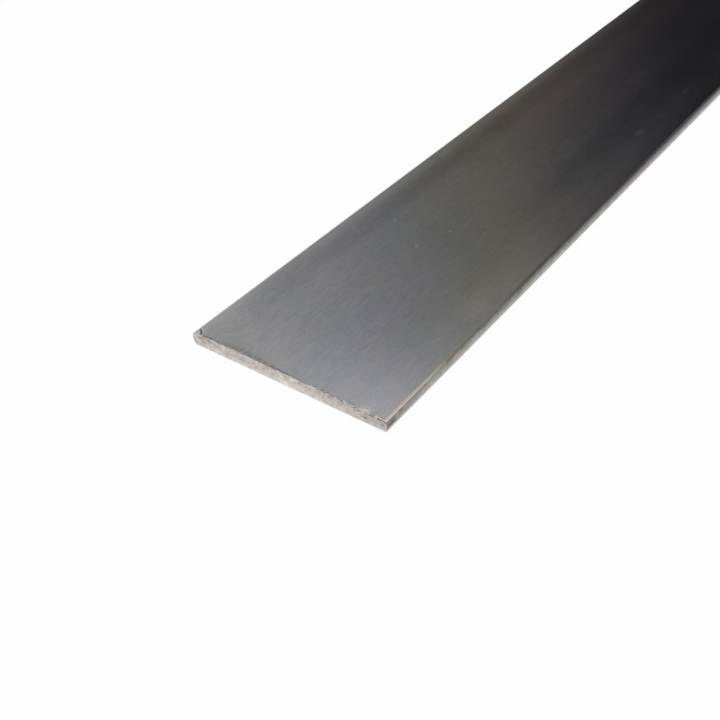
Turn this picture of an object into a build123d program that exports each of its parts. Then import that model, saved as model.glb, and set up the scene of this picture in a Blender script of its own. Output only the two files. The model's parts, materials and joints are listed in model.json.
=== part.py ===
from build123d import *

import os
from math import radians, tan

# Steel flat bar, 50 x 3 mm, in a one metre stock length.
#
# The bar is one rolled piece: two flat faces, two flat sides, and four long edges that the
# rolls left rounded. Both ends were cropped in a shear. The blade dragged the top edge of
# each end down a little (the rollover) and cut a smooth band square to the faces (the
# land). Then the steel tore, so the rest of the end leans back under the bar.
#
# The model is two outlines that cross. The rolled section runs the whole length, the
# cropped profile runs the whole width, and the bar is what they have in common.
#
# Frame, in millimetres: X runs along the bar, Y across it and Z up. The origin is on the
# floor under the middle of the bar, which lies flat with its bottom face at Z = 0.

# Stock sizes
BAR_LENGTH = 1000.0
BAR_WIDTH = 50.0
BAR_THICKNESS = 3.0
LONG_EDGE_RADIUS = 0.9

# Cropped ends
ROLLOVER_RADIUS = 0.3
LAND_DEPTH = 1.0
TEAR_ANGLE = 5.0

# On thin stock the long edges round no further than this share of the thickness, a little
# less than a full half round, so that a flat strip stays on each side.
WIDEST_EDGE_SHARE = 0.49


def rolled_section():
    """The outline across the bar: faces, sides and rounded long edges."""
    edge_radius = min(LONG_EDGE_RADIUS, WIDEST_EDGE_SHARE * BAR_THICKNESS)
    middle_height = BAR_THICKNESS / 2
    return Plane.YZ * Pos(0, middle_height) * RectangleRounded(BAR_WIDTH, BAR_THICKNESS, edge_radius)


def cropped_profile():
    """The outline along the bar, seen from its side, with both ends as the shear left them."""
    end_x = BAR_LENGTH / 2
    land_top = BAR_THICKNESS - ROLLOVER_RADIUS
    land_bottom = land_top - LAND_DEPTH
    tear_setback = land_bottom * tan(radians(TEAR_ANGLE))

    with BuildSketch(Plane.XZ) as profile:
        with BuildLine():
            Polyline(
                (0, 0),
                (end_x - tear_setback, 0),
                (end_x, land_bottom),
                (end_x, land_top),
            )
            CenterArc((end_x - ROLLOVER_RADIUS, land_top), ROLLOVER_RADIUS, 0, 90)
            Line((end_x - ROLLOVER_RADIUS, BAR_THICKNESS), (0, BAR_THICKNESS))
            mirror(about=Plane.YZ)
        make_face()
    return profile.sketch


def flat_bar():
    """The one solid: rolled stock, cropped at both ends."""
    rolled_stock = extrude(rolled_section(), amount=BAR_LENGTH / 2, both=True)
    crop_envelope = extrude(cropped_profile(), amount=BAR_WIDTH / 2, both=True)
    bar = rolled_stock & crop_envelope
    bar.label = "flat_bar"
    return bar


os.makedirs("parts", exist_ok=True)
bar = flat_bar()
export_step(bar, "parts/flat_bar.step")

size = bar.bounding_box().size
print(f"flat_bar: {size.X:.2f} x {size.Y:.2f} x {size.Z:.2f} mm, {bar.volume:.0f} mm3")
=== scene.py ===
# %% [markdown]
# # A steel flat bar, cropped at both ends
#
# A flat bar is about the plainest thing a mill rolls: two wide faces, two narrow sides and
# four soft long edges. What makes a picture of it believable is everything that happened
# to it on the way. The rolls left a fine grain along its length. The bundle rubbed its long
# edges bright, and near the near end a painted highlight adds to that. The shear dragged, cut
# and tore its ends. This lesson models the bar once more around the imported one, gives it
# those marks, and lights it as a small product shot.
#
# The first lines load the imported model. Everything here is in metres, in the same frame as
# the construction: X along the bar, Y across it, Z up, with the origin on the floor.

# %% Load the imported bar
import bpy
import bmesh
import json
from math import atan2, pi, radians, tan
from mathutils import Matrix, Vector, noise

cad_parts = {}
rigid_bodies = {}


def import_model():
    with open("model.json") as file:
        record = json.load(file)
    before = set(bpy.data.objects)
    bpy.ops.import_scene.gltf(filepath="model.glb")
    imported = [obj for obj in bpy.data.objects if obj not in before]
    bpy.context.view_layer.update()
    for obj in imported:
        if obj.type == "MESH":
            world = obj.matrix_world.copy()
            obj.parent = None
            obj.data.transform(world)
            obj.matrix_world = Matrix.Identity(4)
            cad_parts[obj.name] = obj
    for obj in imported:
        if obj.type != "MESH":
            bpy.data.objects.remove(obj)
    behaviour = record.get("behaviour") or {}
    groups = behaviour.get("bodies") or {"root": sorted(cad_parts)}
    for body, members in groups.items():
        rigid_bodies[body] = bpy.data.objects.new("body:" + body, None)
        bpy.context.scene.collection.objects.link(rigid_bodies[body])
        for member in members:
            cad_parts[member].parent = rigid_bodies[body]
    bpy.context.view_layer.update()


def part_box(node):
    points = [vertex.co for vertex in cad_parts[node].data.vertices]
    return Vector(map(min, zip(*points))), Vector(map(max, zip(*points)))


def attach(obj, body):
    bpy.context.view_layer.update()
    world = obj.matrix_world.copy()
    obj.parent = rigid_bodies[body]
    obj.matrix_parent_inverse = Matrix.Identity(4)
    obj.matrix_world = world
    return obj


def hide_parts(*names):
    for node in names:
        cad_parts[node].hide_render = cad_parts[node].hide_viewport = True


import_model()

mm = 0.001
low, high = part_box("flat_bar")
length, width, thickness = high - low
half_length = length / 2
half_width = width / 2
print(f"flat bar: {length / mm:.0f} x {width / mm:.0f} x {thickness / mm:.1f} mm")

# %% [markdown]
# ## The camera
#
# The straight edges of a bar are a gift for finding the camera. The two long silhouettes
# meet in one vanishing point, and the ratio of width to thickness sets the distance. The
# answer is a normal lens held close over the near end, looking along the bar and down.
# Placing the camera first lets every later step be judged from where it will be seen.
# Distances are in metres, angles in degrees, and the lens and its film in millimetres.

# %% Place the camera
near_end = -half_length
right_side = -half_width
camera_ahead_of_end = 0.1276
camera_beside_bar = 0.0821
camera_height = 0.1406
camera_heading = -55.293
camera_pitch = 38.92
camera_lens = 53.01
camera_film = 36
nearest_seen = 0.01

bpy.ops.object.select_all(action="DESELECT")
bpy.ops.object.camera_add(
    location=(near_end - camera_ahead_of_end, right_side - camera_beside_bar, camera_height),
    rotation=(radians(90 - camera_pitch), 0, radians(camera_heading)),
)
camera = bpy.context.object
camera.name = "camera"
camera.data.lens = camera_lens
camera.data.sensor_width = camera_film
camera.data.clip_start = nearest_seen
bpy.context.scene.camera = camera
bpy.context.scene.view_settings.view_transform = "Standard"
print("camera at", [round(value, 4) for value in camera.location])

# %% [markdown]
# ## Writing shaders as sums
#
# A node tree is a formula drawn as boxes. Long formulas are easier to read as Python, so
# this small class wraps an output socket: adding, multiplying or comparing two of them
# puts the Math node in the tree and returns its output. Colours go through Mix nodes,
# because a Math node would turn them grey. Every other node comes from add, which takes
# its type, its settings and its sockets.

# %% A socket that can be calculated with
class Value:
    """A number that changes over a surface: the output of a node, ready for Python maths."""

    def __init__(self, tree, socket):
        self.tree = tree
        self.socket = socket

    def maths(self, operation, *others):
        return self.tree.maths(operation, self, *others)

    def __add__(self, other):
        return self.maths("ADD", other)

    __radd__ = __add__

    def __sub__(self, other):
        return self.maths("SUBTRACT", other)

    def __rsub__(self, other):
        return self.tree.maths("SUBTRACT", other, self)

    def __mul__(self, other):
        return self.maths("MULTIPLY", other)

    __rmul__ = __mul__

    def __truediv__(self, other):
        return self.maths("DIVIDE", other)

    def __rtruediv__(self, other):
        return self.tree.maths("DIVIDE", other, self)

    def __pow__(self, other):
        return self.maths("POWER", other)

    def __abs__(self):
        return self.maths("ABSOLUTE")

    def at_least(self, other):
        return self.maths("MAXIMUM", other)

    def at_most(self, other):
        return self.maths("MINIMUM", other)

    def step(self, start, end):
        """0 before start and 1 after end, with a smooth ramp between them."""
        return self.tree.add(
            "ShaderNodeMapRange",
            {"interpolation_type": "SMOOTHSTEP"},
            {"Value": self, "From Min": start, "From Max": end},
        )["Result"]


class Tree:
    """The node tree of a material or of the world."""

    def __init__(self, owner):
        owner.use_nodes = True
        self.nodes = owner.node_tree.nodes
        self.links = owner.node_tree.links
        self.nodes.clear()

    def plug(self, source, target):
        if isinstance(source, Value):
            self.links.new(source.socket, target)
        else:
            target.default_value = source

    def add(self, kind, settings=None, inputs=None):
        """Adds a node, sets its settings and then its sockets, and returns its outputs."""
        node = self.nodes.new(kind)
        for name, setting in (settings or {}).items():
            setattr(node, name, setting)
        for name, source in (inputs or {}).items():
            self.plug(source, node.inputs[name])
        return {socket.name: Value(self, socket) for socket in node.outputs if socket.enabled}

    def maths(self, operation, *terms):
        node = self.nodes.new("ShaderNodeMath")
        node.operation = operation
        for term, socket in zip(terms, node.inputs):
            self.plug(term, socket)
        return Value(self, node.outputs[0])

    def blend(self, factor, first, second, mode="MIX"):
        """Two colours mixed. A Mix node has sockets for numbers, vectors and colours: the
        inputs 6 and 7 and the output 2 are the ones for colours."""
        node = self.nodes.new("ShaderNodeMix")
        node.data_type = "RGBA"
        node.blend_type = mode
        self.plug(factor, node.inputs[0])
        self.plug(first, node.inputs[6])
        self.plug(second, node.inputs[7])
        return Value(self, node.outputs[2])

    def ramp(self, factor, stops):
        """A colour ramp from a list of (place, colour)."""
        node = self.nodes.new("ShaderNodeValToRGB")
        elements = node.color_ramp.elements
        for place, colour in stops[1:-1]:
            elements.new(place)
        for element, (place, colour) in zip(elements, stops):
            element.position = place
            element.color = (*colour, 1)
        self.plug(factor, node.inputs[0])
        return Value(self, node.outputs[0])


print("Value and Tree are ready")

# %% [markdown]
# ## The studio
#
# Steel has almost no colour of its own. It shows the room, so the room is what gets
# painted. The dome is pale all round and lights the bar at a plain level. Only low behind
# the far end of the bar it is left dark, as where the lamps of a studio don't reach. Seen
# from the near end the face then mirrors the pale ceiling by the viewer's feet and fades
# to black along its length, as bare steel does. The walls beside the dark part lean from
# warm to cool, and a pale strip of horizon closes the view from afar.
#
# Azimuth and elevation come from the direction of view, in degrees. Their distance from
# the middle of the dark part decides the brightness: it is darkest within the core, and
# rises to full at the edge. Each wall colour has the place at which it is reached.

# %% The studio round the bar
dark_azimuth = 7.0
dark_elevation = 18.3
dark_squash = 0.88
dark_core = 9.0
dark_edge = 54.7
dark_power = 1.42
darkest = 0.015
wall_lean = 0.5
wall_pivot = 33
wall_colours = [
    (-8, (1.00, 0.96, 0.93)),
    (12, (0.94, 0.87, 1.05)),
    (19, (1.00, 0.90, 0.90)),
    (24, (1.11, 1.05, 0.93)),
    (28, (0.92, 0.90, 0.79)),
    (32, (0.86, 0.87, 0.93)),
    (60, (0.84, 0.84, 0.85)),
]
wall_fade = (35, 52)
horizon_level = 0.97
horizon_strip = (3.5, 9.0)
full_turn = 360
in_degrees = full_turn / 2 / pi
plain_white = (1, 1, 1, 1)

world = bpy.data.worlds.new("studio")
bpy.context.scene.world = world
sky = Tree(world)
direction = sky.add("ShaderNodeTexCoord")["Generated"]
way = sky.add("ShaderNodeSeparateXYZ", None, {"Vector": direction})
azimuth = way["Y"].maths("ARCTAN2", way["X"]) * in_degrees
elevation = way["Z"].at_most(1).at_least(-1).maths("ARCSINE") * in_degrees
beside = (azimuth - dark_azimuth) * dark_squash
above = elevation - dark_elevation
away = (beside * beside + above * above) ** 0.5
gradient = ((away - dark_core) / (dark_edge - dark_core)).at_least(0).at_most(1) ** dark_power
brightness = gradient * (1 - darkest) + darkest
near_horizon = 1 - elevation.step(*horizon_strip)

wall_place = azimuth + (elevation - wall_pivot) * wall_lean
wall = sky.ramp(
    wall_place / full_turn + 0.5,
    [(place / full_turn + 0.5, colour) for place, colour in wall_colours],
)
paint = sky.blend(away.step(*wall_fade).at_least(near_horizon), wall, plain_white)
backdrop = sky.add(
    "ShaderNodeBackground",
    None,
    {"Color": paint, "Strength": brightness.at_least(near_horizon * horizon_level)},
)["Background"]
sky.add("ShaderNodeOutputWorld", None, {"Surface": backdrop})
print("studio: dark towards azimuth", dark_azimuth, "elevation", dark_elevation)

# %% [markdown]
# ## The floor
#
# The floor is a plain pale sheet. Seen by the camera or mirrored in the steel it is mostly
# white of its own, and the rest of it is lit, so the bar keeps a light shadow on it. Right
# under the bar it has no white of its own: no light gets there, and the dark gap under the
# rounded edges is what sets the bar down on the floor. That dark patch ends where the bar
# ends. Only its two left corners are rounded, so that none shows past the worn corner.

# %% The floor
floor_size = 60.0
floor_drop = 0.00002
floor_grey = (0.9, 0.9, 0.9, 1)
own_white = 0.95
gap_fade = (-0.0002, 0.0001)
gap_corner = 0.0015

bpy.ops.object.select_all(action="DESELECT")
bpy.ops.mesh.primitive_plane_add(size=floor_size, location=(0, 0, low.z - floor_drop))
floor = bpy.context.object
floor.name = "floor"

paper = bpy.data.materials.new("pale_floor")
sheet = Tree(paper)
lit = sheet.add("ShaderNodeBsdfDiffuse", None, {"Color": floor_grey})["BSDF"]
white = sheet.add("ShaderNodeEmission", None, {"Color": plain_white, "Strength": 1})["Emission"]
path = sheet.add("ShaderNodeLightPath")
seen = path["Is Camera Ray"].at_least(path["Is Glossy Ray"]).at_least(path["Is Transmission Ray"])
place = sheet.add("ShaderNodeTexCoord")["Object"]
spot = sheet.add("ShaderNodeSeparateXYZ", None, {"Vector": place})
past_end = (abs(spot["X"]) - half_length + gap_corner).at_least(0)
past_side = (spot["Y"] - half_width + gap_corner).at_least(0)
past_corner = (past_end * past_end + past_side * past_side) ** 0.5 - gap_corner
outside = past_corner.at_least(spot["Y"] * -1 - half_width)
whiteness = seen * own_white * outside.step(*gap_fade)
surface = sheet.add("ShaderNodeMixShader", None, {0: whiteness, 1: lit, 2: white})["Shader"]
sheet.add("ShaderNodeOutputMaterial", None, {"Surface": surface})
floor.data.materials.append(paper)
print("floor", floor_size, "m across")

# %% [markdown]
# ## The rolled length
#
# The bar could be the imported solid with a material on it, but that solid carries only the
# facets that a simulation needs, and nothing that the shear did. So a finer one is made
# round the same box: a block, with its four long edges rounded by a bevel as the rolls
# left them. The outline of each end gets a second bevel. Its weight is largest along the
# top, where the blade dragged the edge down, and falls round the corners to a small one
# along the bottom.

# %% Roll the block
long_edge_radius = 0.0009
edge_steps = 8
rollover_radius = 0.0003
rollover_steps = 5
top_softness = 0.7
side_softness = 0.35
bottom_softness = 0.15
round_profile = 0.5
straight_enough = 0.999
tiny = 1e-6

bpy.ops.object.select_all(action="DESELECT")
bpy.ops.mesh.primitive_cube_add(
    size=1,
    location=(0, 0, thickness / 2),
    scale=(length, width, thickness),
)
bar = bpy.context.object
bar.name = "rolled_bar"
bpy.ops.object.transform_apply(location=True, rotation=True, scale=True)


def choose(kind, test):
    """Selects only the verts, edges or faces that pass the test, and says how many."""
    bpy.ops.mesh.select_all(action="DESELECT")
    mesh = bmesh.from_edit_mesh(bar.data)
    chosen = [element for element in getattr(mesh, kind) if test(element)]
    for element in chosen:
        element.select_set(True)
    mesh.select_flush_mode()
    bmesh.update_edit_mesh(bar.data)
    return len(chosen)


def runs_along(axis):
    """A test for edges that lie along one axis."""
    def test(edge):
        way = edge.verts[1].co - edge.verts[0].co
        return abs(way[axis]) > straight_enough * way.length
    return test


def on_end(point):
    """Whether a point lies in the plane of one of the two ends."""
    return abs(point.co.x) > half_length - tiny


bpy.ops.object.mode_set(mode="EDIT")
bpy.ops.mesh.select_mode(type="EDGE")
choose("edges", runs_along(0))
bpy.ops.mesh.bevel(offset=long_edge_radius, segments=edge_steps, profile=round_profile)
bpy.ops.object.mode_set(mode="OBJECT")

weights = bar.data.attributes.new("bevel_weight_edge", "FLOAT", "EDGE")
for edge in bar.data.edges:
    first, second = (bar.data.vertices[index] for index in edge.vertices)
    if on_end(first) and on_end(second) and first.co.x * second.co.x > 0:
        middle = (first.co + second.co) / 2
        rise = middle.z - (thickness - long_edge_radius)
        fall = long_edge_radius - middle.z
        beyond = abs(middle.y) - (half_width - long_edge_radius)
        turn_up = atan2(max(rise, 0), max(beyond, 0)) / (pi / 2)
        turn_down = atan2(max(fall, 0), max(beyond, 0)) / (pi / 2)
        softness = side_softness + (top_softness - side_softness) * turn_up
        softness += (bottom_softness - side_softness) * turn_down
        weights.data[edge.index].value = softness

rollover = bar.modifiers.new("rollover", "BEVEL")
rollover.limit_method = "WEIGHT"
rollover.width = rollover_radius
rollover.segments = rollover_steps
rollover.use_clamp_overlap = False
bpy.ops.object.modifier_apply(modifier=rollover.name)
print("block with its soft edges:", len(bar.data.vertices), "points")

# %% [markdown]
# ## A skin that can be worked
#
# The marks of the shear are a few tenths of a millimetre across, so the skin near the ends
# needs points that close together. The long flat edges are divided into narrow columns,
# the sides into rows, and rings of cuts close up towards each end. The big faces that
# close the ends are taken out first and put back as a grid, which joins every column of
# the top to its column of the bottom.

# %% Divide the skin
columns_first = 80
columns_each = 3
side_rows = 6
ring_places = (
    0.00045, 0.00065, 0.0009, 0.0012, 0.0016, 0.0021,
    0.0028, 0.0038, 0.0055, 0.008, 0.012, 0.018,
)
middle_rings = 16

bpy.ops.object.mode_set(mode="EDIT")
bpy.ops.mesh.select_mode(type="FACE")


def closes_end(face):
    """Whether a face is one of the two big ones that close the ends."""
    return len(face.verts) > 4 and all(on_end(point) for point in face.verts)


ends = choose("faces", closes_end)
bpy.ops.mesh.delete(type="ONLY_FACE")
print("end faces taken out:", ends)

bpy.ops.mesh.select_mode(type="EDGE")
choose("edges", lambda edge: runs_along(1)(edge) and edge.calc_length() > width / 2)
bpy.ops.mesh.subdivide(number_cuts=columns_first - 1)
choose("edges", runs_along(1))
bpy.ops.mesh.subdivide(number_cuts=columns_each - 1)
choose("edges", lambda edge: runs_along(2)(edge) and edge.calc_length() > thickness / 4)
bpy.ops.mesh.subdivide(number_cuts=side_rows - 1)

middle_reach = half_length - ring_places[-1]
cuts = [side * (half_length - place) for place in ring_places for side in (-1, 1)]
cuts += [middle_reach * (2 * ring / middle_rings - 1) for ring in range(1, middle_rings)]
for place in sorted(cuts):
    bpy.ops.mesh.select_all(action="SELECT")
    bpy.ops.mesh.bisect(plane_co=(place, 0, 0), plane_no=(1, 0, 0))
print("rings cut into the skin:", len(cuts))

# %% [markdown]
# Filling a loop with a grid needs one point of a corner to start from, here the middle one
# of the rounded corner at the bottom. The inner points are then evened out, and the loop
# itself stays where it is.

# %% Close the ends with a grid
straight_width = half_width - long_edge_radius
even_out, even_out_share = 80, 0.5
grid_span = columns_first * columns_each + edge_steps

for side in (-1, 1):
    bpy.ops.mesh.select_mode(type="VERT")
    choose("verts", lambda point: point.co.x * side > half_length - tiny)
    mesh = bmesh.from_edit_mesh(bar.data)
    corner = [
        point for point in mesh.verts
        if point.select
        and point.co.y * -side > straight_width - tiny
        and point.co.z < long_edge_radius + tiny
    ]
    corner.sort(key=lambda point: point.co.z)
    mesh.select_history.add(corner[len(corner) // 2])
    bmesh.update_edit_mesh(bar.data)
    bpy.ops.mesh.fill_grid(span=grid_span, offset=0)
    filled = sum(face.select for face in bmesh.from_edit_mesh(bar.data).faces)
    print("end", side, "closed with", filled, "faces")
    bpy.ops.mesh.select_less()
    bpy.ops.mesh.vertices_smooth(factor=even_out_share, repeat=even_out)

volume = bmesh.from_edit_mesh(bar.data).calc_volume(signed=True) / mm ** 3
bpy.ops.object.mode_set(mode="OBJECT")
print(f"closed skin, facing outwards round {volume:.0f} cubic millimetres")

# %% [markdown]
# ## The marks of the shear
#
# A shear doesn't cut cleanly. Its blade first drags the top down, then cuts a smooth
# square band, the land, and then the rest tears away, leans back and is left rough. These
# could be sculpted with a brush. Here each mark is a Displace modifier that pushes the
# skin along one axis, with a vertex group that says how far each point goes, so every mark
# has a size that can be read and changed. All of them push inwards: nothing may stand
# proud of the stock size. From here on, places and distances in the functions are in
# millimetres.

# %% Pushing the skin
least_share = 0.002
noise_falloff = 0.6
noise_step = 2.0
noise_layers = 4


def push(name, axis, depth, weight):
    """Moves the skin along an axis by a depth, times a weight from 0 to 1 for each point."""
    group = bar.vertex_groups.new(name=name)
    moved = 0
    for point in bar.data.vertices:
        share = weight(point.co)
        if share > least_share:
            group.add([point.index], min(share, 1), "REPLACE")
            moved += 1
    mark = bar.modifiers.new(name, "DISPLACE")
    mark.direction = axis
    mark.mid_level = 0
    mark.strength = depth
    mark.vertex_group = name
    bpy.ops.object.modifier_apply(modifier=mark.name)
    bar.vertex_groups.clear()
    print(f"{name}: {moved} points by up to {abs(depth) / mm:.2f} mm")


def hump(*distances):
    """1 where all the distances are 0, and 0 where they come to 1 together."""
    reach = min(1, sum(distance * distance for distance in distances))
    return (1 - reach) ** 2


def part_of(value, start, end):
    """How far a value has come from start to end, from 0 to 1."""
    return max(0, min(1, (value - start) / (end - start)))


def rough(across, height, grain, seed):
    """A rough pattern from 0 to 1, of a grain size in millimetres."""
    place = Vector((across / grain, height / grain, seed))
    return 0.5 + 0.5 * noise.fractal(place, noise_falloff, noise_step, noise_layers)


print("marks are pushed into", len(bar.data.vertices), "points")

# %% [markdown]
# The land is 1 mm deep under a 0.3 mm rollover, and the torn part leans 5 degrees. Along
# the very bottom the steel holds on longest, and there it leaves a small burr that stands
# out again. The top edge is dragged unevenly and frays, most of all on the right. Both ends
# came from the same shear, so one loop makes them, each with its own pattern.

# %% Drag, tear and fray both ends
land_foot = 1.7
foot_wander = 0.35
foot_grain = 7.0
tear_angle = 5.0
tear_lean = land_foot * mm * tan(radians(tear_angle))
torn_depth = 0.09 * mm
torn_grain = 0.6
torn_stretch = 0.7
drag_depth = 0.03 * mm
drag_reach = 0.8
drag_heights = (1.5, 3.0)
drag_grain = 5.0
drag_least = 0.35
burr_height = 0.5
burr_least = 0.7
burr_grows = (-2, 12)
fray_depth = 0.16 * mm
fray_grain = 1.3
fray_peaks = (0.45, 0.85)
fray_fades = (-2, 6)
fray_fall = 0.75
end_skin = 0.4
edge_band = 0.55

for side, end_name in ((-1, "near"), (1, "far")):
    inwards = -side

    def place(point):
        return (half_length - side * point.x) / mm, point.y / mm, point.z / mm

    def drag(point):
        behind, across, height = place(point)
        if behind > drag_reach:
            return 0
        upper = part_of(height, *drag_heights)
        uneven = drag_least + (1 - drag_least) * rough(across, 0, drag_grain, side)
        return hump(behind / drag_reach) * upper * uneven

    def below_land(point):
        behind, across, height = place(point)
        if behind > end_skin:
            return 0
        foot = land_foot + foot_wander * (2 * rough(across, 0, foot_grain, side + 10) - 1)
        burr = burr_least + (1 - burr_least) * part_of(across, *burr_grows)
        held = burr * part_of(burr_height - height, 0, burr_height)
        return max(0, part_of(foot - height, 0, land_foot) - held)

    def torn(point):
        behind, across, height = place(point)
        if behind >= end_skin:
            return 0
        crumbled = rough(across, height * torn_stretch, torn_grain, side + 20)
        return below_land(point) ** 0.5 * crumbled

    def frayed(point):
        behind, across, height = place(point)
        if behind > end_skin:
            return 0
        amount = 1 - fray_fall * part_of(across, *fray_fades)
        on_edge = hump((thickness / mm - height) / edge_band)
        return amount * on_edge * part_of(rough(across, 0, fray_grain, side + 30), *fray_peaks)

    push(f"drag_{end_name}", "Z", -drag_depth, drag)
    push(f"lean_{end_name}", "X", inwards * tear_lean, below_land)
    push(f"tear_{end_name}", "X", inwards * torn_depth, torn)
    push(f"fray_{end_name}", "X", inwards * fray_depth, frayed)

# %% [markdown]
# ## The near end's own damage
#
# The near end is the one that is looked at, so its marks are placed one by one. Towards the
# right there are a chip in the top edge and a row of small pits under it. The left corner
# was knocked round, and a short nick lies beside it. Behind is measured from the end,
# across from the middle of the bar, and the height from the floor. Each pit has its place
# across and up, half its width, half its height and its depth.

# %% Sizes of the chip, the pits, the corner and the nick
pits = (
    ("pit_a", -11.2, 2.26, 0.30, 0.25, 0.12),
    ("pit_b", -17.3, 2.60, 0.45, 0.22, 0.14),
    ("pit_c", -18.3, 2.24, 0.40, 0.25, 0.12),
    ("pit_d", -21.3, 2.42, 1.00, 0.20, 0.16),
    ("pit_e", -23.0, 2.40, 0.50, 0.30, 0.22),
    ("pit_f", -19.9, 1.14, 0.55, 0.28, 0.08),
)
top_height = round(thickness / mm, 3)
chip_across = -19.7
chip_heights = (1.8, 2.9)
chip_down_depth, chip_down_behind, chip_down_wide = 0.03, 1.7, 1.9
chip_back_depth, chip_back_high, chip_back_wide = 0.16, 1.0, 1.7
knock_in_depth, knock_in_behind, knock_in_across = 0.14, 3.0, (20.5, 24.5)
knock_in_below, knock_in_fade, knock_in_least = 2.3, 1.2, 0.3
knock_down_depth, knock_down_behind, knock_down_wide = 0.07, 1.6, 1.8
knock_down_across, knock_down_heights = 24.6, (1.2, 2.8)
nick = ((0.49, 22.86), (1.24, 23.32), (1.51, 23.85))
nick_depth, nick_half_wide = 0.05, 0.32
nick_lowest, nick_farthest = 2.5, 3
print("pits:", len(pits), "and with them a chip, a worn corner and a nick")

# %% [markdown]
# A knock crushes steel in more than one direction, so the chip is pushed down and back,
# and the corner inwards and down. The nick is a groove along a drawn line, and each pit
# is a small hollow in the end face.

# %% Chip, pits, worn corner and nick
def near(point):
    """How far behind the near end, across and above the floor a point is."""
    return (point.x + half_length) / mm, point.y / mm, point.z / mm


def chip_down(point):
    behind, across, height = near(point)
    aside = (across - chip_across) / chip_down_wide
    return hump(behind / chip_down_behind, aside) * part_of(height, *chip_heights)


def chip_back(point):
    behind, across, height = near(point)
    if behind >= end_skin:
        return 0
    return hump((top_height - height) / chip_back_high, (across - chip_across) / chip_back_wide)


def knocked_in(point):
    behind, across, height = near(point)
    lower = part_of(knock_in_below - height, 0, knock_in_fade)
    amount = knock_in_least + (1 - knock_in_least) * lower
    return hump(behind / knock_in_behind) * part_of(across, *knock_in_across) * amount


def knocked_down(point):
    behind, across, height = near(point)
    aside = (across - knock_down_across) / knock_down_wide
    return hump(behind / knock_down_behind, aside) * part_of(height, *knock_down_heights)


def nicked(point):
    behind, across, height = near(point)
    if height < nick_lowest or behind > nick_farthest:
        return 0
    here = Vector((behind, across))
    corners = [Vector(corner) for corner in nick]
    gaps = []
    for start, end in zip(corners, corners[1:]):
        run = end - start
        share = part_of((here - start).dot(run), 0, run.length_squared)
        gaps.append((here - start - run * share).length)
    return hump(min(gaps) / nick_half_wide)


push("chip_down", "Z", -chip_down_depth * mm, chip_down)
push("chip_back", "X", chip_back_depth * mm, chip_back)
push("knock_in", "Y", -knock_in_depth * mm, knocked_in)
push("knock_down", "Z", -knock_down_depth * mm, knocked_down)
push("nick", "Z", -nick_depth * mm, nicked)


def pitted(middle, level, half_across, half_up):
    """The weight of one pit, which lies in the end face."""
    def weight(point):
        behind, across, height = near(point)
        if behind >= end_skin:
            return 0
        return hump((across - middle) / half_across, (height - level) / half_up)
    return weight


for name, middle, level, half_across, half_up, depth in pits:
    push(name, "X", depth * mm, pitted(middle, level, half_across, half_up))

# %% [markdown]
# The skin is shaded smooth, except where it turns by more than a small angle, so the
# outline of each end stays crisp and the rolled edges stay round.

# %% Smooth the skin and place the bar
crease_angle = 40.0
bpy.ops.object.shade_smooth_by_angle(angle=radians(crease_angle))
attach(bar, "root")
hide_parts("flat_bar")
print("rolled bar:", len(bar.data.polygons), "faces")

# %% [markdown]
# ## The bare steel
#
# Rolled steel is satin, not shiny and not painted, and it is never one even grey. Fine
# lines run along it, a few broad streaks are lighter or darker where the rolls and the
# bundle rubbed it, and soft clouds of oxide lie over all. The rounded edges and the sides
# keep more of the scale and look browner.
#
# All of this is worked out from where a point is on the bar, in millimetres, so the
# patterns stay put when the bar is seen from another side. Along is measured from the near
# end, across from the middle and the height from the floor. The turn is the angle of the
# skin round a long edge: 0 on the wide faces and 90 on the sides.

# %% Where a point is on the bar
never_zero = 0.0001


def places_on(tree):
    """The place as a vector in metres, and along, across, height and turn as numbers."""
    place = tree.add("ShaderNodeTexCoord")["Object"]
    axes = tree.add("ShaderNodeSeparateXYZ", None, {"Vector": place})
    along, across, height = (axes[axis] * (1 / mm) for axis in "XYZ")
    beyond = (abs(across) - (half_width - long_edge_radius) / mm).at_least(0)
    from_middle = abs(height - thickness / 2 / mm)
    rise = (from_middle - (thickness / 2 - long_edge_radius) / mm).at_least(never_zero)
    turn = beyond.maths("ARCTAN2", rise) * in_degrees
    return place, along + half_length / mm, across, height, turn


print("places are measured in millimetres from the near end")

# %% [markdown]
# Every mask below is made from a few small shapes: a grain of noise with cells of a given
# size, a bell round one value, a round patch, and the distance to a drawn line.

# %% Small shapes for masks
grain_roughness = 0.55


def grain(tree, place, along, across, up, detail=3.0, seed=0.0):
    """A pattern round 0, from -0.5 to 0.5, with cells of these sizes in millimetres."""
    cells = tuple(1 / (size * mm) for size in (along, across, up))
    shifted = tree.add(
        "ShaderNodeMapping",
        None,
        {"Vector": place, "Location": (seed, seed, seed), "Scale": cells},
    )["Vector"]
    pattern = tree.add(
        "ShaderNodeTexNoise",
        None,
        {"Vector": shifted, "Scale": 1.0, "Detail": detail, "Roughness": grain_roughness},
    )
    return pattern["Fac"] - 0.5


def share(value):
    """Held between 0 and 1."""
    return value.at_least(0).at_most(1)


def bell(value, centre, reach):
    """1 at the centre, falling smoothly to 0 at the reach on both sides."""
    return 1 - abs(value - centre).step(0, reach)


def patch(first, second, middle, reach, soft=0.0):
    """A round patch: middle and reach are pairs, in the same order as the two values."""
    one = (first - middle[0]) / reach[0]
    other = (second - middle[1]) / reach[1]
    return 1 - (one * one + other * other).step(soft, 1)


def line_gap(first, second, points):
    """The distance to a line through these points, in the same order as the two values."""
    corners = [Vector(point) for point in points]
    nearest = None
    for start, end in zip(corners, corners[1:]):
        run = end - start
        reached = ((first - start.x) * run.x + (second - start.y) * run.y) / run.length_squared
        reached = share(reached)
        one = first - start.x - reached * run.x
        other = second - start.y - reached * run.y
        gap = (one * one + other * other) ** 0.5
        nearest = gap if nearest is None else nearest.at_most(gap)
    return nearest


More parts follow.
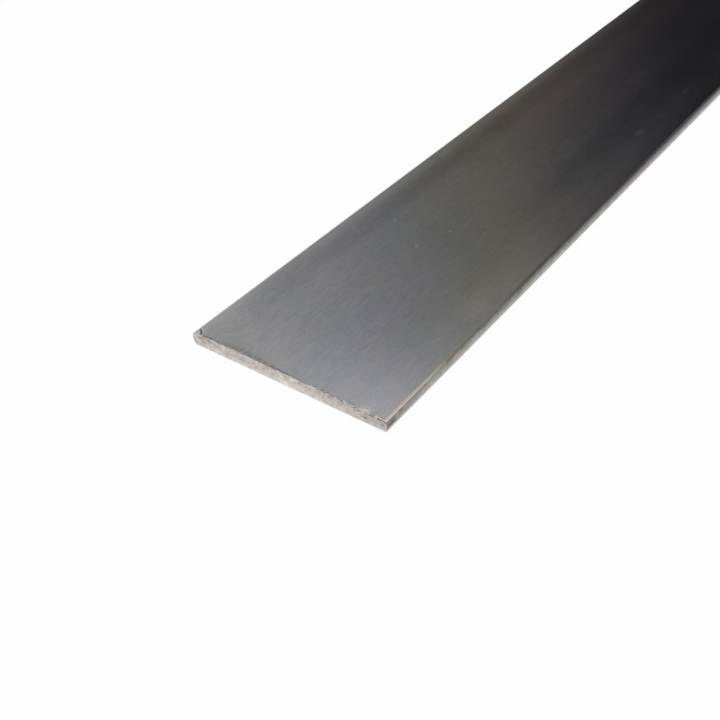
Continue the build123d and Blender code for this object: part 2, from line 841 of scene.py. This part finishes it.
def even(tree, tone):
    """A grey vector from one number, to multiply a colour with."""
    return tree.add("ShaderNodeCombineXYZ", None, {"X": tone, "Y": tone, "Z": tone})["Vector"]


print("masks are made from grain, bell, patch and line_gap")

# %% [markdown]
# ### The tone of the rolled skin
#
# The tone is a factor on one plain grey. Each streak is a line of numbers: how far across
# the bar it runs, how wide it is, how much it adds, and between which places along the bar.
# Smudges are patches that a hand or a rag left: a middle and a reach, both along and
# across, and how much they add. Specks are painted glints: small bright spots where dints
# would catch the light.

# %% Streaks, smudges and specks
streaks = (
    (-24.0, 13.0, 0.20, -60, 55),
    (-20.5, 7.0, 0.24, 85, 900),
    (-10.0, 6.0, -0.17, 68, 130),
    (-8.0, 5.0, -0.09, 115, 900),
    (-16.0, 3.0, 0.10, 135, 900),
    (11.5, 5.0, 0.06, 120, 600),
    (24.5, 3.6, 0.20, -20, 95),
    (24.5, 4.6, 0.72, 110, 950),
    (24.5, 4.6, 0.32, 140, 950),
    (18.5, 4.5, -0.13, -10, 130),
    (18.5, 3.5, -0.08, 55, 95),
    (16.0, 4.0, -0.07, 50, 100),
)
smudges = (
    ((1.9, 11), (2.4, 6.5), -0.09),
    ((10, 19.5), (5, 3), 0.09),
    ((12, -12), (14, 4), 0.05),
    ((30, 23.5), (16, 3), -0.12),
    ((92, 23.8), (48, 3.2), 0.14),
    ((125, 18), (10, 5), -0.06),
    ((160, 13.5), (22, 5), 0.08),
    ((2.0, -19.6), (2.6, 1.2), 0.06),
    ((42.5, -20.8), (4.5, 3.4), 0.11),
    ((120, -6.7), (8, 3.5), 0.10),
    ((141, -16.7), (3.6, 1.3), 0.50),
    ((174, -17.3), (4, 1.5), 0.25),
    ((175, -1.7), (8, 3), 0.10),
    ((99, 21), (4, 2), 0.10),
)
glint_specks = (
    (55.5, 3.5), (62.5, 14.2), (67.5, 14.2), (65.8, 0.3),
    (73, -5.8), (111, -3), (174.5, -17.2), (192.5, -14.5),
)
streak_fade_in = 45
streak_fade_out = 60
glint_reach = (0.55, 0.28)
glint_gain = 0.5
print("streaks, smudges and specks:", len(streaks), len(smudges), len(glint_specks))

# %% [markdown]
# Rolling lines are long and thin, grit is as wide as it is long, and both are faint: a few
# hundredths of the grey. They weaken a little along the bar, because the eye loses them
# there. The right part of the near end is rubbed lighter.

# %% Tone of the rolled skin
steel = bpy.data.materials.new("bare_steel")
skin = Tree(steel)
place, along, across, height, turn = places_on(skin)

fine_lines = grain(skin, place, 7, 0.33, 0.33, 3.0)
short_lines = grain(skin, place, 4, 0.9, 0.9, 3.0, 3.7)
long_lines = grain(skin, place, 60, 1.8, 1.8, 2.0, 8.1)
grit = grain(skin, place, 0.7, 0.6, 0.6, 3.0, 4.9)
mottle = grain(skin, place, 3.2, 2.4, 2.4, 3.0, 7.3)
clouds = grain(skin, place, 15, 9, 9, 3.0, 5.3)
haze = grain(skin, place, 30, 15, 15, 2.0, 1.9)

texture = fine_lines * 0.25 + short_lines * 0.20 + grit * 0.26 + mottle * 0.16
texture_gain = 1.25 - along.step(10, 90) * 0.3
far_part = along.step(105, 175)
tone = 1 + texture * texture_gain
tone = tone + long_lines * 0.10 + clouds * 0.14 + haze * 0.08 + far_part * 0.07
for middle, reach, amount, begins, ends in streaks:
    fades_in = along.step(begins, begins + streak_fade_in)
    fades_out = along.step(ends, ends + streak_fade_out)
    tone = tone + bell(across, middle, reach) * (fades_in * (1 - fades_out)) * amount
for middle, reach, amount in smudges:
    tone = tone + patch(along, across, middle, reach) * amount
# Painted glints: small bright spots in the tone of the wide faces.
for speck in glint_specks:
    tone = tone + patch(along, across, speck, glint_reach) * glint_gain
right_part = 1 - across.step(-24, 20)
rubbed_wide = (1 - along.step(2, 34)) * right_part * 0.26
rubbed_close = (1 - along.step(0, 18)) * right_part * 0.16
tone = tone + (rubbed_wide + rubbed_close) + (1 - along.step(10, 80)) * 0.06
print("nodes in the tone:", len(skin.nodes))

# %% [markdown]
# ### The colour of the wide faces
#
# Oxide tints steel a little: cool in one cloud, warm or green in the next. Four broad tints
# lie over that, each with the part of the bar that it covers: a warm one far along on the
# left, a cool one on the right of the middle, and a faint yellow at both near corners.

# %% Colour of the wide faces
steel_grey = (0.55, 0.55, 0.55, 1)
cool = (0.98, 0.995, 1.03, 1)
warm = (1.015, 1.0, 0.97, 1)
greenish = (0.99, 1.01, 0.99, 1)
reddish = (1.01, 0.985, 1.01, 1)
right_stretch = (1 - across.step(-11, 3)) * along.step(75, 135) * (1 - along.step(175, 215))
oxide_tints = (
    (across.step(2, 15) * along.step(80, 140), (1.065, 1.0, 0.94, 1)),
    (right_stretch, (0.935, 1.0, 1.045, 1)),
    (across.step(10, 20) * (1 - along.step(8, 34)), (1.0, 1.0, 0.955, 1)),
    ((1 - across.step(-23.5, -20)) * (1 - along.step(24, 36)), (1.0, 1.0, 0.95, 1)),
)

cool_and_warm = skin.blend(share(haze * 2.5 + mottle * 2 + 0.5), cool, warm)
green_and_red = skin.blend(share(clouds * 3 + grit + 0.5), greenish, reddish)
base = skin.blend(1.0, cool_and_warm, green_and_red, "MULTIPLY")
for where, tint in oxide_tints:
    base = skin.blend(where, base, tint, "MULTIPLY")
base = skin.blend(1.0, base, steel_grey, "MULTIPLY")
print("broad oxide tints:", len(oxide_tints))

# %% [markdown]
# ### The colour of the sides
#
# The sides keep the most scale, and they are painted darker than the wide faces: partly that
# scale, partly painted shade. The colour is darker under the top edge and paler towards the
# bottom, and both change along the bar: the near part was handled and is paler, the foot is
# paler from the first centimetres on, with a darker band at mid height, and further along the
# upper part darkens. The level is the height as a share of the thickness.
# Patches of dark and brown scale near the corner are placed one by one, each with its
# middle along and up, its reach along and up, its strength and its colour.

# %% Scale and painted shade on the sides
# Painted shade: these side colours are darker than the faces, partly from the scale the sides
# keep.
scale_and_shade_stops = [
    (0.02, (0.20, 0.192, 0.183)),
    (0.20, (0.26, 0.25, 0.237)),
    (0.32, (0.243, 0.233, 0.22)),
    (0.52, (0.19, 0.177, 0.166)),
    (0.70, (0.145, 0.132, 0.122)),
    (0.95, (0.13, 0.12, 0.113)),
]
scale_dark = (0.052, 0.046, 0.041)
scale_brown = (0.085, 0.062, 0.056)
side_spots = (
    (4.5, 1.25, 9.0, 1.1, 0.44, scale_dark),
    (1.0, 1.3, 1.6, 1.5, 0.50, scale_dark),
    (1.6, 0.8, 1.3, 1.1, 1.0, scale_dark),
    (2.6, 1.4, 1.1, 0.9, 0.80, scale_dark),
    (1.45, 1.95, 0.6, 0.4, 0.60, scale_brown),
    (2.9, 1.9, 0.6, 0.4, 0.65, scale_brown),
    (5.2, 2.05, 1.0, 0.4, 0.60, scale_brown),
)
print("patches of scale by the corner:", len(side_spots))

# %% Colour of the sides
side_red = (1.05, 0.97, 0.99, 1)
side_yellow = (1.0, 1.01, 0.94, 1)
side_leans = (
    (along.step(10, 18) * (1 - along.step(45, 75)), (1.0, 1.0, 0.965, 1)),
    (along.step(55, 85), (1.03, 1.0, 1.035, 1)),
)

side_patches = grain(skin, place, 2.6, 1.4, 1.1, 4.0, 2.2)
side_tints = grain(skin, place, 1.6, 1.2, 1.2, 2.0, 3.3)
level = height / (thickness / mm)
handled = (1 - along.step(25, 60)) * level.step(0.3, 0.5)
middle_dip = bell(level, 0.45, 0.22) * along.step(10, 20) * (1 - along.step(45, 65))
pale_foot = (1 - level.step(0.10, 0.38)) * along.step(10, 65)
upper_fall = level.step(0.12, 0.72) * 0.68 - level.step(0.8, 0.95) * 0.55
side_fall = along.step(30, 170) * upper_fall
side_tone = 1.0 + handled * 0.18 - middle_dip * 0.13 + pale_foot * 0.66 - side_fall
side_tone = side_tone * (1 + side_patches * 1.7)

side_colour = skin.ramp(share(level + side_patches * 0.14), scale_and_shade_stops)
side_tint = skin.blend(share(side_tints * 3 + 0.5), side_red, side_yellow)
side_colour = skin.blend(1.0, side_colour, side_tint, "MULTIPLY")
side_colour = skin.blend(1.0, side_colour, even(skin, side_tone), "MULTIPLY")
for where, tint in side_leans:
    side_colour = skin.blend(where, side_colour, tint, "MULTIPLY")
torn_along = along + side_patches * 1.8
torn_height = height + side_patches * 0.8
for middle, spot_height, half_along, half_up, strength, colour in side_spots:
    spot_share = patch(torn_along, torn_height, (middle, spot_height), (half_along, half_up))
    side_colour = skin.blend(spot_share * strength, side_colour, (*colour, 1))
print("nodes with the sides:", len(skin.nodes))

# %% [markdown]
# ### The long edges
#
# The turn leads from the faces to the sides. On the first centimetres the long edges are
# painted bright instead: partly wear, because that is where the bar was handled, and partly a
# painted highlight on the rounded edge. Next to the wide face the right edge has a thin line
# of painted shade, darkest where the bright band has ended. On the first centimetres the left
# edge gets a painted highlight, a little paler than the face.

# %% Colour of the long edges
# The first colour is partly worn steel and partly painted highlight, the last one a painted
# highlight.
wear_and_highlight_colour = (0.42, 0.405, 0.39, 1)
edge_shade = (0.06, 0.058, 0.055, 1)
edge_highlight_colour = (0.62, 0.62, 0.60, 1)

# Partly wear, partly a painted highlight on the rounded long edges of the first centimetres.
wear_and_highlight = (1 - along.step(8, 28)) * bell(turn, 42, 28)
scaled_from = 10 + wear_and_highlight * 38
base = skin.blend(turn.step(scaled_from, scaled_from + 42), base, side_colour)
base = skin.blend(wear_and_highlight * 0.9, base, wear_and_highlight_colour)
shaded_stretch = along.step(36, 66) * (1 - along.step(110, 150))
shade_line = bell(turn, 30, 30) * (0.16 + shaded_stretch * 0.44)
base = skin.blend(shade_line * (1 - across.step(-5, 5)), base, edge_shade)
# Painted highlight along the left edge of the first centimetres.
left_rim_highlight = across.step(23.6, 24.4) * (1 - along.step(40, 90))
base = skin.blend(left_rim_highlight * 0.6, base, edge_highlight_colour)
print("nodes with the long edges:", len(skin.nodes))

# %% [markdown]
# ### Grime and painted shade at the ends
#
# The dragged edge of a cropped end is painted dark: partly oil and scale that stay in it,
# partly a painted dark reflection in the rolled-over edge. On the right half the band is a
# thin ragged line, on the left half it is broad and soft. Towards the near end's left corner
# it narrows to a broken dark seam.

# %% Grime, painted shade and the dark seam
# The first colour is partly oil and scale, partly painted shade.
grime_and_shade_colour = (0.15, 0.14, 0.13, 1)
seam_colour = (0.13, 0.12, 0.11, 1)
seam = ((0.20, 22.4), (0.30, 21.6), (0.40, 20.6), (0.40, 19.3), (0.28, 17.8))

behind = (half_length / mm - abs(along - half_length / mm)).at_least(0)
ragged = grain(skin, place, 2.5, 0.9, 0.9, 4.0, 6.6)
left_half = across.step(-6, 14)
broad = left_half * (1 - across.step(15, 19) * 0.55)
# Painted shade along the dragged top edge of each end, partly oil and scale.
grime_and_shade_reach = (0.45 + ragged * 1.0 + broad * (1.7 + ragged * 2.2)).at_least(0.15)
grime_and_shade = (1 - (behind / grime_and_shade_reach).step(0.0, 1.0)) * (1 - turn.step(30, 70))
grime_and_shade_share = share(grime_and_shade * (0.95 - left_half * 0.45 + ragged * 1.2))
base = skin.blend(grime_and_shade_share, base, grime_and_shade_colour)

on_top = height.step(2.2, 2.6)
on_seam = 1 - line_gap(along + ragged * 0.6, across, seam).step(0.12, 0.42)
seam_share = on_seam * on_top * across.step(16.8, 20) * share(0.50 + ragged * 2.0 + grit)
base = skin.blend(seam_share, base, seam_colour)
print("nodes with the grime:", len(skin.nodes))

# %% [markdown]
# ### Scrapes
#
# The chip towards the right is scraped to a dull greenish grey. The knocked corner at the
# left is scraped paler, with a dark speck on its rim and the nick as a dark hook in it.
# Along the rest of the right half the very edge is painted a little darker than the face:
# partly duller dragged steel, partly painted shade.

# %% Scrapes on the chip and on the corner
chip_colour = (0.32, 0.32, 0.28, 1)
corner_colour = (0.60, 0.62, 0.58, 1)
speck_colour = (0.20, 0.20, 0.18, 1)
nick_colour = (0.07, 0.075, 0.065, 1)

ragged_along = along + ragged * 2.0
ragged_across = across + grit + ragged * 2.0
chip_scrape = patch(ragged_along, ragged_across, (0.1, chip_across), (2.4, 1.7)) * on_top
base = skin.blend(chip_scrape * (0.55 + grit * 0.5), base, chip_colour)
corner_scrape = patch(along + ragged, across, (0.2, 24.0), (1.3, 1.5), 0.2)
base = skin.blend(corner_scrape * 0.5, base, corner_colour)
corner_speck = patch(along, across, (0.66, 24.1), (0.45, 0.26))
base = skin.blend(corner_speck * on_top * 0.7, base, speck_colour)
on_nick = (1 - line_gap(along, across, nick).step(0.08, 0.26)) * on_top
base = skin.blend(on_nick * 0.9, base, nick_colour)
# Painted shade along the end's edge on the right half, over duller dragged steel.
edge_dull_and_shade = (1 - behind.step(0.1, 1.1)) * (1 - left_half)
edge_dull_and_shade = edge_dull_and_shade * (1 - turn.step(10, 40)) * (1 - chip_scrape) * 0.34
print("nodes with the scrapes:", len(skin.nodes))

# %% [markdown]
# ### The finish of the skin
#
# The relief of rolled steel is a few thousandths of a millimetre deep, so it is bump. The
# finish is satin, rougher in the grime, on the scrapes and on the scaled sides.

# %% Finish of the skin
skin_relief_depth = 0.000002
skin_roughness = 0.135

skin_base = skin.blend(1.0, base, even(skin, tone * (1 - edge_dull_and_shade)), "MULTIPLY")
scraped = share(chip_scrape + corner_scrape)
skin_relief = fine_lines * 0.5 + short_lines * 0.7 + grit * 0.25 + clouds * 1.2
skin_relief = skin_relief + scraped * grit * 3
skin_bump = skin.add(
    "ShaderNodeBump",
    None,
    {"Strength": 1.0, "Distance": skin_relief_depth, "Height": skin_relief},
)["Normal"]
satin = skin_roughness + fine_lines * 0.05 + clouds * 0.04
satin = satin + grime_and_shade_share * 0.20 + scraped * 0.25 + turn.step(50, 85) * 0.18
skin_finish = skin.add(
    "ShaderNodeBsdfPrincipled",
    None,
    {"Base Color": skin_base, "Metallic": 1.0, "Roughness": satin, "Normal": skin_bump},
)["BSDF"]
skin.add("ShaderNodeOutputMaterial", None, {"Surface": skin_finish})
bar.data.materials.append(steel)
print("bare steel:", len(skin.nodes), "nodes")

# %% [markdown]
# ### Stains and lines of the cropped face
#
# Freshly parted steel is paler and rougher than the skin. The stains on it are the near
# end's own. Each has its middle across and up, its reach across and up, its strength and
# its colour. The face lines are drawn through points across and up, with half their width,
# their strength and their colour. At the right corner they are the pale rim round a purple
# stain, the dark seam that runs on from the last pit, and a pale burr over it. At the left
# corner they are the scraped edge, the pale tip, a dark and a pale line down the rim, and
# beside them a brown crack with a pale strip over it. The pale rim, burr, line and strip are
# partly burnished steel and partly painted highlight along the edges.

# %% Stains and lines
cream = (0.70, 0.68, 0.60)
pink = (0.60, 0.50, 0.48)
moss = (0.55, 0.54, 0.465)
brown = (0.22, 0.17, 0.14)
purple = (0.47, 0.40, 0.41)
# Painted highlight: the pale lines in this colour are partly burnished steel and partly light
# caught on the edges.
burnish_and_highlight = (0.74, 0.71, 0.69)
seam_dark = (0.15, 0.125, 0.115)
scraped_green = (0.52, 0.53, 0.48)
tip_grey = (0.70, 0.70, 0.69)
rim_dark = (0.30, 0.30, 0.28)
crack_brown = (0.30, 0.24, 0.22)
dull_green = (0.40, 0.40, 0.37)
dull_dark = (0.36, 0.36, 0.32)
face_lines = (
    (((-23.7, 2.36), (-24.3, 2.20), (-24.66, 1.75), (-24.78, 0.3)), 0.14, 0.65, burnish_and_highlight),
    (((-23.0, 2.42), (-24.0, 2.60), (-24.5, 2.50), (-24.9, 2.15)), 0.20, 0.90, seam_dark),
    (((-22.3, 2.84), (-23.0, 2.84), (-24.1, 2.88), (-24.7, 2.68)), 0.15, 0.55, burnish_and_highlight),
    (((24.6, 2.50), (23.6, 2.75), (22.4, 2.86)), 0.34, 0.75, scraped_green),
    (((24.75, 2.2), (24.3, 2.15)), 0.34, 0.70, tip_grey),
    (((24.62, 1.7), (24.4, 1.3), (24.0, 0.8), (23.6, 0.35)), 0.20, 0.60, rim_dark),
    (((24.15, 1.9), (23.85, 1.2), (23.4, 0.6)), 0.24, 0.60, burnish_and_highlight),
    (((20.6, 2.67), (20.0, 2.43), (18.8, 2.1), (17.5, 1.8)), 0.20, 0.55, crack_brown),
    (((20.0, 2.86), (19.2, 2.84), (18.3, 2.84)), 0.20, 0.45, burnish_and_highlight),
)
stains = (
    (-1.9, 2.25, 1.3, 0.45, 0.7, cream),
    (0.6, 0.45, 1.8, 0.8, 0.9, cream),
    (-15.8, 2.2, 1.4, 0.5, 0.6, pink),
    (-24.0, 1.5, 1.1, 1.05, 1.0, purple),
    (-22.2, 1.5, 0.8, 0.9, 0.35, moss),
    (14.5, 1.6, 3.0, 0.7, 0.5, pink),
    (2.0, 1.8, 0.5, 0.9, 0.5, pink),
    (-19.8, 2.2, 1.7, 1.3, 0.55, moss),
    (-19.9, 1.2, 0.7, 0.4, 0.7, brown),
    (-5.5, 1.4, 1.0, 1.2, 0.5, pink),
    (-12.8, 1.2, 0.8, 1.0, 0.4, pink),
    (-10.0, 1.6, 0.7, 0.9, 0.4, moss),
    (-3.8, 2.2, 0.6, 0.4, 0.4, brown),
    (7.5, 1.9, 0.7, 0.8, 0.4, pink),
    (11.2, 1.6, 1.2, 0.6, 0.3, brown),
    (15.5, 0.5, 1.3, 0.4, 0.45, dull_green),
    (-8.8, 2.4, 0.7, 0.4, 0.45, dull_dark),
    (21.5, 2.65, 2.6, 0.45, 0.45, brown),
    (22.9, 2.35, 0.7, 0.45, 0.55, brown),
    (21.8, 1.5, 1.1, 0.5, 0.5, brown),
    (20.4, 2.5, 0.7, 0.35, 0.55, brown),
    (18.5, 1.75, 1.2, 0.5, 0.25, brown),
)
print("stains and lines:", len(stains), len(face_lines))

# %% [markdown]
# ### The crust of the cropped face
#
# Both ends get this crust. Fine drag lines cross the land, the torn part under it is a
# little paler, and pinkish and cream blotches lie over both. The tone falls towards both
# corners and rises a little in the middle and along the bottom.

# %% Colour of the crust
torn_steel = (0.595, 0.555, 0.52, 1)
land_steel = (0.555, 0.51, 0.48, 1)
bloom_pink = (0.56, 0.475, 0.46, 1)
blotch_cream = (0.60, 0.585, 0.51, 1)

cropped_steel = bpy.data.materials.new("cropped_steel")
crop = Tree(cropped_steel)
place, along, across, height = places_on(crop)[:4]

drag_lines = grain(crop, place, 1, 0.35, 2.5, 3.0, 4.4)
crust = grain(crop, place, 0.6, 0.7, 0.45, 4.0, 7.7)
blotches = grain(crop, place, 2, 1.4, 0.9, 3.0, 2.8)
blooms = grain(crop, place, 3, 3.0, 2.2, 3.0, 9.2)
ragged = grain(crop, place, 2.5, 0.9, 0.9, 4.0, 6.6)
land_line = land_foot + 0.1 + blooms * 1.6
on_land = height.step(land_line - 0.3, land_line + 0.3)

face_colour = crop.blend(on_land, torn_steel, land_steel)
face_colour = crop.blend(share(blooms * 5 + 0.2) * 0.7, face_colour, bloom_pink)
face_colour = crop.blend(share(blotches * 5 - 0.2) * 0.8, face_colour, blotch_cream)
near_face = 1 - along.step(20, 30)
for middle, level, half_across, half_up, strength, colour in stains:
    reach = (half_across, half_up)
    stained = patch(across + crust * 1.6, height + blotches * 0.9, (middle, level), reach)
    face_colour = crop.blend(stained * near_face * strength, face_colour, (*colour, 1))

right_fall = (1 - across.step(-26, -3)) * 0.16
left_fall = across.step(16, 25) * 0.08
spread = 1 - right_fall - left_fall + bell(across, -1.5, 7) * 0.06
spread = spread + (1 - height.step(0.1, 1.5)) * 0.12
face_tone = spread * (1 + crust * 1.05 + blotches * 0.5 + drag_lines * on_land * 0.65)
face_colour = crop.blend(1.0, face_colour, even(crop, face_tone), "MULTIPLY")
print("nodes in the crust:", len(crop.nodes))

# %% [markdown]
# ### Dark scale on the cropped face
# The pits and the line along the top are painted dark, except at the chip, where the scale was
# scraped off. Both are partly dark scale and partly painted shade: the deeper a pit, the darker
# it is painted, and the line is a painted dark reflection in the rolled-over edge. The face
# lines come over it, and so does a short bright burr left of the middle, partly burnished steel
# and partly a painted highlight.

# %% Dark line, face lines and pits
# The first and last colours are partly dark scale and partly painted shade, the burr colour
# partly burnished steel and partly painted highlight.
scale_and_shade_colour = (0.17, 0.155, 0.145, 1)
burnished_burr_highlight_colour = (0.80, 0.77, 0.73, 1)
pit_scale_and_shade_colour = (0.11, 0.09, 0.08, 1)
line_half_high = 0.13
fully_shaded_depth = 0.18

left_half = across.step(-6, 14)
top_edge = thickness / mm - 0.09 + ragged * (0.9 - left_half * 0.6) + crust * 0.5
top_edge = top_edge + left_half * 0.02
chip_gap = patch(across, height, (chip_across, top_height), (1.5, 1.6))
# Painted shade along the top: partly dark scale, partly a painted dark reflection in the
# rolled-over edge.
scale_and_shade_line = height.step(top_edge - line_half_high, top_edge + line_half_high) * (1 - chip_gap)
face_colour = crop.blend(scale_and_shade_line * 0.75, face_colour, scale_and_shade_colour)
rough_across = across + crust * 0.2
rough_height = height + crust * 0.2
for points, half_wide, strength, colour in face_lines:
    gap = line_gap(rough_across, rough_height, points)
    on_line = 1 - gap.step(half_wide * 0.4, half_wide)
    face_colour = crop.blend(on_line * near_face * strength, face_colour, (*colour, 1))
# Painted highlight on the burr's edge, over burnished steel.
burnished_burr_highlight = bell(height, 2.86, 0.10) * bell(across + ragged * 4, 9, 4.5) * near_face
face_colour = crop.blend(burnished_burr_highlight * share(0.8 + ragged * 3), face_colour, burnished_burr_highlight_colour)
for name, middle, level, half_across, half_up, depth in pits:
    reach = (half_across, half_up)
    inside = patch(across + crust * 0.9, height + blotches * 0.5, (middle, level), reach)
    # The deeper the pit, the darker it is painted: painted shade over the scale in it.
    pit_shade = min(1, depth / fully_shaded_depth)
    face_colour = crop.blend(inside * near_face * pit_shade, face_colour, pit_scale_and_shade_colour)
print("nodes with the dark scale:", len(crop.nodes))

# %% [markdown]
# ### The finish of the cropped face
#
# The crust is a few hundredths of a millimetre deep and far duller than the skin.

# %% Finish of the cropped face
crop_relief_depth = 0.00003
crop_roughness = 0.42

crop_relief = crust + drag_lines * on_land * 0.4
crop_bump = crop.add(
    "ShaderNodeBump",
    None,
    {"Strength": 1.0, "Distance": crop_relief_depth, "Height": crop_relief},
)["Normal"]
dull = crop_roughness + crust * 0.25
crop_finish = crop.add(
    "ShaderNodeBsdfPrincipled",
    None,
    {"Base Color": face_colour, "Metallic": 1.0, "Roughness": dull, "Normal": crop_bump},
)["BSDF"]
crop.add("ShaderNodeOutputMaterial", None, {"Surface": crop_finish})
bar.data.materials.append(cropped_steel)
print("cropped steel:", len(crop.nodes), "nodes")

# %% [markdown]
# The two finishes meet where the skin turns towards an end, so the faces for the second one
# are found by their normals.

# %% Give the ends their own finish
facing_end = 0.45
bpy.ops.object.select_all(action="DESELECT")
bar.select_set(True)
bpy.context.view_layer.objects.active = bar
bpy.ops.object.mode_set(mode="EDIT")
bpy.ops.mesh.select_mode(type="FACE")
cropped_faces = choose("faces", lambda face: abs(face.normal.x) > facing_end)
bar.active_material_index = 1
bpy.ops.object.material_slot_assign()
bpy.ops.object.mode_set(mode="OBJECT")
print("faces with the cropped finish:", cropped_faces)
